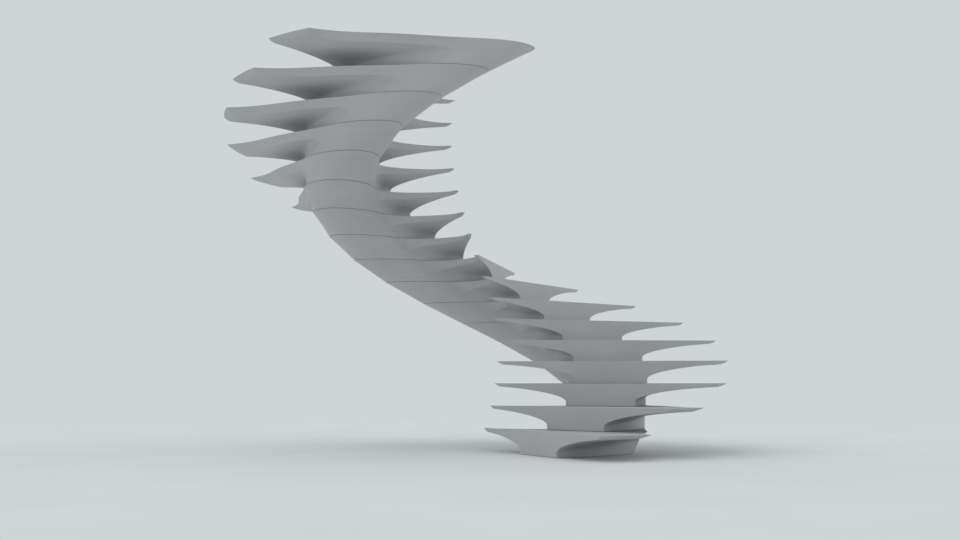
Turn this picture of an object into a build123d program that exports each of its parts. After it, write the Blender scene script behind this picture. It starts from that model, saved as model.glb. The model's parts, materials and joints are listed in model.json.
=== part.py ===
"""Free-standing helical stair made of seventeen stacked cast modules.

Every module is the same casting, turned one tread further round the stair axis:
a flat tread with two thin wings, a T-shaped riser face, and a rear soffit that
runs on without a break from the module below.  Each module is bedded on the one
below and clamped to it by two upright tie rods.  The lowest one is clamped to a
steel base plate, which has the holes for the floor anchors.

Frame: origin on the floor at the stair axis, +Z up, +X along the first riser.
Lengths are in millimetres and angles in degrees.
"""
import os
from math import cos, radians, sin

from build123d import *

# ---- driving dimensions ------------------------------------------------------
STEP_COUNT = 17
RISE = 175.0                        # tread to tread
TURN = 18.0                         # turn per tread, anticlockwise going up
OUTER_RADIUS = 2000.0               # tips of the outer wings
INNER_RADIUS = 186.0                # tips of the inner wings
WING_END_ANGLE = 12.4               # sweep of the round end of a wing
BED = 3.0                           # thickness of a bedding joint
BED_INSET = 8.0                     # how far a joint stays back from the edges
BED_SPANS = 8                       # spline spans along each edge of its outline
JOIN_TOLERANCE = 0.001              # gap allowed between ends that are joined

# Wing underside, as distance in from the tip and depth under the tread: the end
# of the round tip, then the controls of a curve that ends upright at the stem.
FRONT_WING = [(65.0, 27.0), (332.0, 44.0), (622.0, 92.0), (622.0, 140.0)]
OUTER_REAR_WING = [(95.0, 30.0), (380.0, 38.0), (646.0, 38.0), (646.0, 92.0)]
INNER_REAR_WING = [(95.0, 20.0), (380.0, 24.0), (614.0, 30.0), (614.0, 116.0)]
REAR_WING_ANGLE = 30.0              # where the rear shape is reached
TIP_ROUNDNESS = 0.5                 # place of the tip curve's control along the tip
ENVELOPE_ANGLES = [0.0, 10.0, 20.0, 30.0, 45.0, 60.0, 75.0]

# Rear edge of a tread, from the end of the outer wing round the rear tongue to
# the inner wing: X along the riser, Y in the walking direction.
REAR_EDGE = [
    (1730.0, 511.0),
    (1461.0, 697.0),
    (1036.0, 950.0),
    (735.0, 1123.0),
    (578.0, 1155.0),
    (403.0, 1092.0),
    (361.0, 980.0),
    (411.0, 782.0),
    (489.0, 655.0),
    (574.0, 560.0),
    (615.0, 444.0),
    (594.0, 312.0),
    (480.0, 163.0),
    (263.0, 35.0),
]

# tie rods, the sockets they screw into, and the pockets that take their nuts
TIE_RADII = [930.0, 1260.0]
TIE_ANGLE = 24.0                    # on the plan of the module they clamp
ROD_RADIUS = 12.0
ROD_HOLE_RADIUS = 15.0
ROD_IN_SOCKET = 60.0
ROD_OVER_NUT = 6.0
ROD_CHAMFER = 2.0
POCKET_RADIUS = 36.0
POCKET_DEPTH = 48.0
WASHER_RADIUS = 26.0
WASHER_THICKNESS = 4.0
NUT_ACROSS_FLATS = 36.0
NUT_HEIGHT = 19.0
SOCKET_RADIUS = 20.0
SOCKET_LENGTH = 75.0
COLLAR_RADIUS = 30.0
COLLAR_HEIGHT = 8.0
PLUG_THICKNESS = 12.0

# round base plate, let into the underside of the lowest module
PLATE_RADIUS = 230.0
PLATE_THICKNESS = 20.0
ANCHOR_COUNT = 6
ANCHOR_CIRCLE_RADIUS = 190.0
ANCHOR_HOLE_RADIUS = 13.0
ANCHOR_POCKET_RADIUS = 32.0
ANCHOR_POCKET_DEPTH = 50.0

# ---- sizes worked out from them ----------------------------------------------
PLATE_CENTRE_RADIUS = sum(TIE_RADII) / len(TIE_RADII)
POCKET_FLOOR = RISE - POCKET_DEPTH
NUT_SEAT = POCKET_FLOOR + WASHER_THICKNESS
ROD_TOP = NUT_SEAT + NUT_HEIGHT + ROD_OVER_NUT
ANCHOR_POCKET_TOP = PLATE_THICKNESS + ANCHOR_POCKET_DEPTH
SOCKET_ANGLE = TIE_ANGLE + TURN     # the next module's rods, on this module


# ---- helpers -----------------------------------------------------------------
def polar(radius, angle):
    """Point on a module's plan, the angle counted from its riser."""
    return radius * cos(radians(angle)), radius * sin(radians(angle))


def at_step(shape, number):
    """Places a shape drawn for the first step at the given step."""
    return Pos(0, 0, (number - 1) * RISE) * Rot(0, 0, (number - 1) * TURN) * shape


def upright(point, radius, bottom, top):
    """Upright cylinder between two heights."""
    base_aligned = (Align.CENTER, Align.CENTER, Align.MIN)
    cylinder = Cylinder(radius, top - bottom, align=base_aligned)
    return Pos(point[0], point[1], bottom) * cylinder


def tie_points(angle):
    """Plan positions of a pair of tie rods."""
    return [polar(radius, angle) for radius in TIE_RADII]


def anchor_points():
    """Plan positions of the floor anchors, on a circle in the base plate."""
    centre = polar(PLATE_CENTRE_RADIUS, TIE_ANGLE)
    points = []
    for index in range(ANCHOR_COUNT):
        angle = TIE_ANGLE + (index + 0.5) * 360 / ANCHOR_COUNT
        offset = polar(ANCHOR_CIRCLE_RADIUS, angle)
        points.append((centre[0] + offset[0], centre[1] + offset[1]))
    return points


# ---- the cast module ---------------------------------------------------------
def tread_outline():
    """Plan of a tread: straight riser edge, round wing ends, curved rear edge."""
    outer_end = polar(OUTER_RADIUS, WING_END_ANGLE)
    inner_end = polar(INNER_RADIUS, WING_END_ANGLE)
    outer_middle = polar(OUTER_RADIUS, WING_END_ANGLE / 2)
    inner_middle = polar(INNER_RADIUS, WING_END_ANGLE / 2)
    riser_edge = Line((INNER_RADIUS, 0), (OUTER_RADIUS, 0))
    outer_arc = ThreePointArc((OUTER_RADIUS, 0), outer_middle, outer_end)
    rear = Spline(outer_end, *REAR_EDGE, inner_end)
    inner_arc = ThreePointArc(inner_end, inner_middle, (INNER_RADIUS, 0))
    return Wire([riser_edge, outer_arc, rear, inner_arc])


def ruled_body():
    """Straight lines from the tread below up to this tread, one turn further on.

    The rear face is the soffit, which joins the rear edges of both treads.
    """
    outline = tread_outline()
    lower = Rot(0, 0, -TURN) * outline
    upper = Pos(0, 0, RISE) * outline
    return Solid.make_loft([lower, upper], ruled=True)


def wing_side(tip, inward, rear_wing, angle):
    """Underside of a wing in an upright plane, from its tip down to the foot.

    inward is -1 for the outer wing and +1 for the inner one.  The shape goes
    from the front one at the riser to the rear one at REAR_WING_ANGLE.
    """
    share = min(angle / REAR_WING_ANGLE, 1.0)
    points = []
    for front, rear in zip(FRONT_WING, rear_wing):
        distance = front[0] + share * (rear[0] - front[0])
        depth = front[1] + share * (rear[1] - front[1])
        points.append((tip + inward * distance, 0, RISE - depth))
    foot = (points[-1][0], 0, 0)
    # the tip curve runs smoothly into the underside
    end, beyond = Vector(points[0]), Vector(points[1])
    along = TIP_ROUNDNESS * (end.X - tip) / (beyond.X - end.X)
    tip_curve = Bezier((tip, 0, RISE), end - (beyond - end) * along, end)
    edges = [tip_curve, Bezier(*points), Line(points[-1], foot)]
    return edges, foot


def wing_envelope():
    """The T-shaped riser profile, turned round the stair axis.

    The wings get thinner and square off towards the rear.
    """
    sections = []
    for angle in ENVELOPE_ANGLES:
        outer, outer_foot = wing_side(OUTER_RADIUS, -1, OUTER_REAR_WING, angle)
        inner, inner_foot = wing_side(INNER_RADIUS, +1, INNER_REAR_WING, angle)
        top = Line((INNER_RADIUS, 0, RISE), (OUTER_RADIUS, 0, RISE))
        bottom = Line(inner_foot, outer_foot)
        profile = Wire([*outer, bottom, *inner, top])
        sections.append(Rot(0, 0, angle) * profile)
    return Solid.make_loft(sections)


def plain_module():
    """One module before its fixings are cut, over its bedding joint."""
    span = 3 * OUTER_RADIUS
    bed_space = Pos(0, 0, BED / 2) * Box(span, span, BED)
    return (ruled_body() & wing_envelope()) - bed_space


def smooth_copy(edge):
    """The same edge as a spline through evenly spaced points of it."""
    if edge.geom_type == GeomType.LINE:
        return edge
    return Spline(*[edge @ (index / BED_SPANS) for index in range(BED_SPANS + 1)])


def bed_outline(module):
    """Plan of the bedding joint: the module's foot, held back from its edges."""
    foot = module.faces().sort_by(Axis.Z)[0]
    inset = foot.outer_wire().offset_2d(-BED_INSET)
    edges = [smooth_copy(edge) for edge in inset.edges()]
    closed_line = Wire.combine(edges, tol=JOIN_TOLERANCE)[0]
    return Pos(0, 0, -BED) * Face(closed_line)


def socket(point):
    """Threaded socket cast in flush with the tread, on a collar that holds it."""
    bottom = RISE - SOCKET_LENGTH
    body = upright(point, SOCKET_RADIUS, bottom, RISE)
    collar = upright(point, COLLAR_RADIUS, bottom, bottom + COLLAR_HEIGHT)
    return body + collar


def drilled_module(module, has_next):
    """A module with its nut pockets and rod holes, and seats for the sockets."""
    for point in tie_points(TIE_ANGLE):
        module -= upright(point, POCKET_RADIUS, POCKET_FLOOR, RISE)
        module -= upright(point, ROD_HOLE_RADIUS, 0, POCKET_FLOOR)
    if has_next:
        for point in tie_points(SOCKET_ANGLE):
            module -= socket(point)
    return module


def base_recess():
    """Room under the lowest module for the base plate and its anchor nuts."""
    recess = upright(polar(PLATE_CENTRE_RADIUS, TIE_ANGLE), PLATE_RADIUS, 0,
                     PLATE_THICKNESS)
    for point in anchor_points():
        recess += upright(point, ANCHOR_POCKET_RADIUS, 0, ANCHOR_POCKET_TOP)
    return recess


# ---- joints and fixings ------------------------------------------------------
def bedding_joint(outline, is_lowest):
    """Mortar bed under a module, open round the rods or the base plate."""
    bed = extrude(outline, BED, dir=(0, 0, 1))
    if is_lowest:
        plate_centre = polar(PLATE_CENTRE_RADIUS, TIE_ANGLE)
        return bed - upright(plate_centre, PLATE_RADIUS, 0, BED)
    for point in tie_points(TIE_ANGLE):
        bed -= upright(point, ROD_HOLE_RADIUS, 0, BED)
    return bed


def base_plate():
    """Round steel plate with anchor holes and two threaded tie-rod holes."""
    centre = polar(PLATE_CENTRE_RADIUS, TIE_ANGLE)
    plate = upright(centre, PLATE_RADIUS, 0, PLATE_THICKNESS)
    for point in anchor_points():
        plate -= upright(point, ANCHOR_HOLE_RADIUS, 0, PLATE_THICKNESS)
    for point in tie_points(TIE_ANGLE):
        plate -= upright(point, ROD_RADIUS, 0, PLATE_THICKNESS)
    return plate


def tie_rods(is_lowest):
    """The pair of rods that clamps one module to the one below it."""
    bottom = 0 if is_lowest else -ROD_IN_SOCKET
    rods = []
    for point in tie_points(TIE_ANGLE):
        rod = upright(point, ROD_RADIUS, bottom, ROD_TOP)
        top_edge = rod.edges().sort_by(Axis.Z)[-1]
        rods.append(chamfer(top_edge, ROD_CHAMFER))
    return rods


def washers():
    """The washers on the pocket floors of one module."""
    rings = []
    for point in tie_points(TIE_ANGLE):
        ring = upright(point, WASHER_RADIUS, POCKET_FLOOR, NUT_SEAT)
        rings.append(ring - upright(point, ROD_RADIUS, POCKET_FLOOR, NUT_SEAT))
    return rings


def nuts():
    """The hexagon nuts of one module."""
    hexes = []
    for x, y in tie_points(TIE_ANGLE):
        plan = RegularPolygon(NUT_ACROSS_FLATS / 2, 6, major_radius=False)
        nut = Pos(x, y, NUT_SEAT) * extrude(plan, NUT_HEIGHT)
        hexes.append(nut - upright((x, y), ROD_RADIUS, NUT_SEAT, NUT_SEAT + NUT_HEIGHT))
    return hexes


def sockets():
    """The pair of cast-in sockets of one module, bored for the rods above."""
    pair = []
    for point in tie_points(SOCKET_ANGLE):
        bore = upright(point, ROD_RADIUS, RISE - ROD_IN_SOCKET, RISE)
        pair.append(socket(point) - bore)
    return pair


def pocket_plugs():
    """Covers flush with the top tread, over its two nut pockets."""
    plugs = []
    for point in tie_points(TIE_ANGLE):
        plug = upright(point, POCKET_RADIUS, RISE - PLUG_THICKNESS, RISE)
        plugs.append(plug)
    return plugs


# ---- assembly ----------------------------------------------------------------
def repeated(make_pieces, numbers):
    """The same small pieces at each of the given steps."""
    placed = []
    for number in numbers:
        for piece in make_pieces():
            placed.append(at_step(piece, number))
    return Compound(children=placed)


def build_nodes():
    """Every sub-part by name."""
    module = plain_module()
    outline = bed_outline(module)
    middle = drilled_module(module, has_next=True)
    lowest = middle - base_recess()
    highest = drilled_module(module, has_next=False)
    lowest_bed = bedding_joint(outline, is_lowest=True)
    bed = bedding_joint(outline, is_lowest=False)

    all_steps = range(1, STEP_COUNT + 1)
    nodes = {}
    for number in all_steps:
        casting = middle
        if number == 1:
            casting = lowest
        if number == STEP_COUNT:
            casting = highest
        nodes[f"step_{number:02d}"] = at_step(casting, number)
        joint = lowest_bed if number == 1 else bed
        nodes[f"bedding_joint_{number:02d}"] = at_step(joint, number)
    nodes["base_plate"] = base_plate()
    nodes["base_tie_rods"] = Compound(children=tie_rods(is_lowest=True))
    nodes["tie_rods"] = repeated(lambda: tie_rods(is_lowest=False), all_steps[1:])
    nodes["tie_washers"] = repeated(washers, all_steps)
    nodes["tie_nuts"] = repeated(nuts, all_steps)
    nodes["cast_in_sockets"] = repeated(sockets, all_steps[:-1])
    nodes["pocket_plugs"] = repeated(pocket_plugs, all_steps[-1:])
    return nodes


os.makedirs("parts", exist_ok=True)
for name, shape in build_nodes().items():
    export_step(shape, f"parts/{name}.step")
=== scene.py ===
"""Looks for the free-standing helical staircase: materials, floor, light and camera.

Everything is in metres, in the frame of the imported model: origin on the floor at the
stair axis, +Z up, +X along the lowest riser.
"""

import json
from math import radians

import bpy
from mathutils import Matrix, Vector

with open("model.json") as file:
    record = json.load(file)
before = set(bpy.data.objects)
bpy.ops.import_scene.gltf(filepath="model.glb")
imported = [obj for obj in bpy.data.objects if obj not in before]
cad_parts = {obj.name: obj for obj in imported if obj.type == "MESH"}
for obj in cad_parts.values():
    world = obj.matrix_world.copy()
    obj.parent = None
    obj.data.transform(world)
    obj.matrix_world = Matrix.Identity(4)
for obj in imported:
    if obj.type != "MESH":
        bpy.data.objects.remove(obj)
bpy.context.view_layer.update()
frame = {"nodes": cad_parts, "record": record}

# ---- camera ------------------------------------------------------------------
CAMERA_AZIMUTH = 64.99              # degrees round the stair, 0 looks along +Y
CAMERA_TILT = 94.96                 # degrees from looking straight down
CAMERA_PLACE = (9.593, -4.424, 0.5185)
CAMERA_LENS = 49.32                 # millimetres, on the sensor width below
SENSOR_WIDTH = 36.0

# ---- light -------------------------------------------------------------------
# Each lamp's direction of travel and power. Both are suns, which light the floor
# evenly, and both stand behind the stair.
KEY = ((0.50, 0.38, -1.0), 0.55)    # from high on the picture's left
FILL = ((0.08, -0.90, -0.42), 0.14)  # from low on the picture's right
LAMP_SPREAD = 60.0                  # degrees, wide for soft shadows
LAMP_COLOUR = (0.93, 1.0, 1.0)
SKY = (0.617, 0.665, 0.665)

# ---- colours, linear ---------------------------------------------------------
WHITE = (1.0, 1.0, 1.0)
CONCRETE_DARK = (0.500, 0.493, 0.496)
CONCRETE_LIGHT = (0.532, 0.524, 0.528)
STREAK_SHADE = (0.965, 0.965, 0.965)
GRAIN_SHADE = (0.95, 0.95, 0.95)
MORTAR_DARK = (0.150, 0.158, 0.160)
MORTAR_LIGHT = (0.215, 0.226, 0.228)
ZINC_DARK = (0.42, 0.44, 0.46)
ZINC_LIGHT = (0.58, 0.60, 0.62)
FLOOR_DARK = (0.795, 0.795, 0.795)
FLOOR_LIGHT = (0.815, 0.815, 0.815)

# ---- surface patterns --------------------------------------------------------
# The scale is in patches to the metre. The detail is the number of finer layers.
EVEN = (1, 1, 1)
LEVEL = (1.5, 1.5, 55)              # squeezed upward, so that patches lie as streaks
CLOUDS = {"scale": 2.2, "detail": 3.0}
STREAKS = {"scale": 1.0, "detail": 5.0, "stretch": LEVEL}
GRAIN = {"scale": 160.0, "detail": 3.0}
GRIT = {"scale": 240.0, "detail": 4.0}
BLOOM = {"scale": 45.0, "detail": 4.0}
FLOOR_PATCHES = {"scale": 0.8, "detail": 2.0}
NOISE_LOW = 0.3                     # noise seldom leaves this stretch
NOISE_HIGH = 0.7

# ---- floor, in metres --------------------------------------------------------
FLOOR_RADIUS = 60.0
FLOOR_SIDES = 96
FADE_START = 5.0                    # distance from the stair axis
FADE_END = 12.0

# ---- the Mix node's sockets for colours --------------------------------------
MIX_FACTOR = 0
MIX_FIRST = 6
MIX_SECOND = 7
MIX_RESULT = 2


# ---- node helpers ------------------------------------------------------------
class Recipe:
    """A new material's node tree, with short calls to fill it."""

    def __init__(self, name):
        self.material = bpy.data.materials.new(name)
        self.material.use_nodes = True
        self.tree = self.material.node_tree
        self.shader = self.tree.nodes["Principled BSDF"]

    def node(self, kind, **settings):
        made = self.tree.nodes.new(kind)
        for name, value in settings.items():
            setattr(made, name, value)
        return made

    def link(self, source, target):
        self.tree.links.new(source, target)

    def position(self, stretch=EVEN):
        """Coordinates on the object in metres, scaled by stretch."""
        coordinates = self.node("ShaderNodeTexCoord")
        mapping = self.node("ShaderNodeMapping")
        mapping.inputs["Scale"].default_value = stretch
        self.link(coordinates.outputs["Object"], mapping.inputs["Vector"])
        return mapping.outputs["Vector"]

    def noise(self, scale, detail, stretch=EVEN):
        """Cloudy values round one half."""
        made = self.node("ShaderNodeTexNoise")
        made.inputs["Scale"].default_value = scale
        made.inputs["Detail"].default_value = detail
        self.link(self.position(stretch), made.inputs["Vector"])
        return made.outputs["Fac"]

    def ramp(self, value, dark, light, dark_to=0.35, light_from=0.65):
        """Dark up to one value, light from another on, blended between the two."""
        made = self.node("ShaderNodeValToRGB")
        dark_stop, light_stop = made.color_ramp.elements
        dark_stop.position = dark_to
        dark_stop.color = (*dark, 1)
        light_stop.position = light_from
        light_stop.color = (*light, 1)
        self.link(value, made.inputs["Fac"])
        return made.outputs["Color"]

    def multiply(self, first, second):
        """One colour shaded by another."""
        made = self.node("ShaderNodeMix", data_type="RGBA", blend_type="MULTIPLY")
        made.inputs[MIX_FACTOR].default_value = 1.0
        self.link(first, made.inputs[MIX_FIRST])
        self.link(second, made.inputs[MIX_SECOND])
        return made.outputs[MIX_RESULT]

    def span(self, value, low, high):
        """A noise's usual stretch, spread between low and high."""
        made = self.node("ShaderNodeMapRange")
        made.inputs["From Min"].default_value = NOISE_LOW
        made.inputs["From Max"].default_value = NOISE_HIGH
        made.inputs["To Min"].default_value = low
        made.inputs["To Max"].default_value = high
        self.link(value, made.inputs["Value"])
        return made.outputs["Result"]

    def bump(self, height, strength, distance):
        """Relief on the surface; distance is its depth in metres."""
        made = self.node("ShaderNodeBump")
        made.inputs["Strength"].default_value = strength
        made.inputs["Distance"].default_value = distance
        self.link(height, made.inputs["Height"])
        self.link(made.outputs["Normal"], self.shader.inputs["Normal"])


# ---- materials ---------------------------------------------------------------
def cast_concrete():
    """Fair-faced grey casting: cloudy tone, level streaks from the mould, fine grain."""
    recipe = Recipe("cast_concrete")
    clouds = recipe.noise(**CLOUDS)
    streaks = recipe.noise(**STREAKS)
    grain = recipe.noise(**GRAIN)
    tone = recipe.ramp(clouds, CONCRETE_DARK, CONCRETE_LIGHT)
    streak_tone = recipe.ramp(streaks, STREAK_SHADE, WHITE, dark_to=0.38, light_from=0.62)
    grain_tone = recipe.ramp(grain, GRAIN_SHADE, WHITE, dark_to=0.30, light_from=0.60)
    colour = recipe.multiply(tone, streak_tone)
    colour = recipe.multiply(colour, grain_tone)
    roughness = recipe.span(streaks, low=0.44, high=0.56)
    recipe.link(colour, recipe.shader.inputs["Base Color"])
    recipe.link(roughness, recipe.shader.inputs["Roughness"])
    recipe.shader.inputs["Specular IOR Level"].default_value = 0.35
    recipe.bump(grain, strength=0.15, distance=0.0004)
    return recipe.material


def mortar():
    """Fine dark grout, duller and coarser than the casting."""
    recipe = Recipe("mortar")
    grit = recipe.noise(**GRIT)
    tone = recipe.ramp(grit, MORTAR_DARK, MORTAR_LIGHT)
    recipe.link(tone, recipe.shader.inputs["Base Color"])
    recipe.shader.inputs["Roughness"].default_value = 0.9
    recipe.bump(grit, strength=0.5, distance=0.0008)
    return recipe.material


def galvanised_steel():
    """Dull zinc coating with a faint bloom."""
    recipe = Recipe("galvanised_steel")
    bloom = recipe.noise(**BLOOM)
    tone = recipe.ramp(bloom, ZINC_DARK, ZINC_LIGHT)
    roughness = recipe.span(bloom, low=0.38, high=0.55)
    recipe.link(tone, recipe.shader.inputs["Base Color"])
    recipe.link(roughness, recipe.shader.inputs["Roughness"])
    recipe.shader.inputs["Metallic"].default_value = 1.0
    return recipe.material


def paint_nodes():
    """Gives every CAD node the material of its slot in the record."""
    materials = {
        "cast_concrete": cast_concrete(),
        "mortar": mortar(),
        "galvanised_steel": galvanised_steel(),
    }
    for part in frame["record"]["subparts"]:
        mesh = frame["nodes"][part["node"]].data
        mesh.materials.clear()
        mesh.materials.append(materials[part["material_slot"]])


# ---- floor, light and camera -------------------------------------------------
def floor_material():
    """Pale matte floor that fades into the surrounding light away from the stair."""
    recipe = Recipe("studio_floor")
    patches = recipe.noise(**FLOOR_PATCHES)
    tone = recipe.ramp(patches, FLOOR_DARK, FLOOR_LIGHT, dark_to=0.4, light_from=0.6)
    recipe.link(tone, recipe.shader.inputs["Base Color"])
    recipe.shader.inputs["Roughness"].default_value = 0.85
    recipe.shader.inputs["Specular IOR Level"].default_value = 0.2
    distance = recipe.node("ShaderNodeVectorMath", operation="LENGTH")
    recipe.link(recipe.position(), distance.inputs[0])
    share = recipe.node("ShaderNodeMapRange", interpolation_type="SMOOTHSTEP")
    share.inputs["From Min"].default_value = FADE_START
    share.inputs["From Max"].default_value = FADE_END
    recipe.link(distance.outputs["Value"], share.inputs["Value"])
    glow = recipe.node("ShaderNodeEmission")
    glow.inputs["Color"].default_value = (*SKY, 1)
    blend = recipe.node("ShaderNodeMixShader")
    far_share, near_shader, far_shader = blend.inputs
    recipe.link(share.outputs["Result"], far_share)
    recipe.link(recipe.shader.outputs["BSDF"], near_shader)
    recipe.link(glow.outputs["Emission"], far_shader)
    output = recipe.tree.nodes["Material Output"]
    recipe.link(blend.outputs["Shader"], output.inputs["Surface"])
    return recipe.material


def add_floor():
    """A wide round floor under the stair."""
    bpy.ops.mesh.primitive_circle_add(
        vertices=FLOOR_SIDES, radius=FLOOR_RADIUS, fill_type="NGON"
    )
    floor = bpy.context.object
    floor.name = "studio_floor"
    floor.data.materials.append(floor_material())


def add_surroundings():
    """Even pale light from all round."""
    world = bpy.data.worlds.new("studio")
    world.use_nodes = True
    background = world.node_tree.nodes["Background"]
    background.inputs["Color"].default_value = (*SKY, 1)
    background.inputs["Strength"].default_value = 1.0
    bpy.context.scene.world = world


def add_lamp(name, direction, power):
    """A weak, wide sun."""
    lamp = bpy.data.lights.new(name, "SUN")
    lamp.energy = power
    lamp.angle = radians(LAMP_SPREAD)
    lamp.color = LAMP_COLOUR
    holder = bpy.data.objects.new(name, lamp)
    bpy.context.collection.objects.link(holder)
    holder.rotation_euler = Vector(direction).to_track_quat("-Z", "Y").to_euler()


def add_camera():
    """The camera at the photograph's view."""
    camera = bpy.data.cameras.new("camera")
    camera.sensor_width = SENSOR_WIDTH
    camera.lens = CAMERA_LENS
    holder = bpy.data.objects.new("camera", camera)
    bpy.context.collection.objects.link(holder)
    holder.location = CAMERA_PLACE
    holder.rotation_euler = (radians(CAMERA_TILT), 0, radians(CAMERA_AZIMUTH))
    bpy.context.scene.camera = holder


paint_nodes()
add_floor()
add_surroundings()
add_lamp("key", *KEY)
add_lamp("fill", *FILL)
add_camera()
bpy.context.scene.view_settings.view_transform = "Standard"
